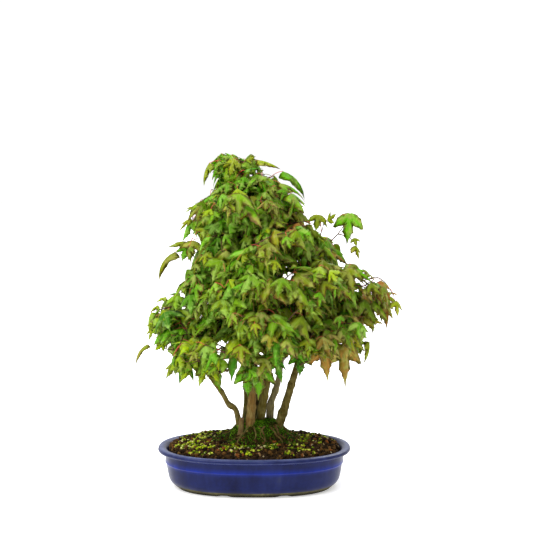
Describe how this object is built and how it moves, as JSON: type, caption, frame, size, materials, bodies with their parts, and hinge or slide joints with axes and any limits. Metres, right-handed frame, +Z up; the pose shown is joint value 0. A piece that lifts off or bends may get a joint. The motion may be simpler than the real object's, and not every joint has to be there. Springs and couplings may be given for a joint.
{
  "type": "bonsai tree",
  "caption": "Clump of slender maples with drooping three-lobed leaves on a mossy mound, in a shallow oval blue glazed pot with a rolled rim",
  "frame": {"origin": "centre of the oval pot on the plane the pot stands on", "axes": "+Z up, +X along the pot's long side towards the broader side of the canopy, -Y towards the front"},
  "size_m": [0.4192, 0.2922, 0.5322],
  "materials": {
    "pot_glaze": "cobalt glaze over stoneware, bare clay at the foot",
    "mesh_plastic": "moulded netting",
    "clip_wire": "drawn wire",
    "soil": "baked clay granules with moss flecks",
    "moss": "short dense moss over roots",
    "bark": "young bark",
    "leaves": "thin living leaf, satin top"
  },
  "bodies": {
    "root": {"pot": "pot_glaze", "drain_mesh_left": "mesh_plastic", "drain_mesh_right": "mesh_plastic", "mesh_clip_left": "clip_wire", "mesh_clip_right": "clip_wire", "soil": "soil", "moss_mound": "moss", "cut_stump": "bark", "tree_front": "bark", "tree_left": "bark", "tree_back_left": "bark", "tree_centre": "bark", "tree_back": "bark", "tree_mid_right": "bark", "tree_right": "bark", "leaves_front_1": "leaves", "leaves_front_2": "leaves", "leaves_front_3": "leaves", "leaves_front_4": "leaves", "leaves_front_5": "leaves", "leaves_front_6": "leaves", "leaves_front_7": "leaves", "leaves_front_8": "leaves", "leaves_front_9": "leaves", "leaves_front_10": "leaves", "leaves_front_11": "leaves", "leaves_left_1": "leaves", "leaves_left_2": "leaves", "leaves_left_3": "leaves", "leaves_left_4": "leaves", "leaves_left_5": "leaves", "leaves_left_6": "leaves", "leaves_back_left_1": "leaves", "leaves_back_left_2": "leaves", "leaves_back_left_3": "leaves", "leaves_back_left_4": "leaves", "leaves_back_left_5": "leaves", "leaves_back_left_6": "leaves", "leaves_centre_1": "leaves", "leaves_centre_2": "leaves", "leaves_centre_3": "leaves", "leaves_centre_4": "leaves", "leaves_centre_5": "leaves", "leaves_centre_6": "leaves", "leaves_back_1": "leaves", "leaves_back_2": "leaves", "leaves_back_3": "leaves", "leaves_mid_right_1": "leaves", "leaves_mid_right_2": "leaves", "leaves_mid_right_3": "leaves", "leaves_mid_right_4": "leaves", "leaves_mid_right_5": "leaves", "leaves_right_1": "leaves", "leaves_right_2": "leaves", "leaves_right_3": "leaves", "leaves_right_4": "leaves", "leaves_right_5": "leaves", "leaves_right_6": "leaves", "leaves_right_7": "leaves"}
  },
  "joints": []
}
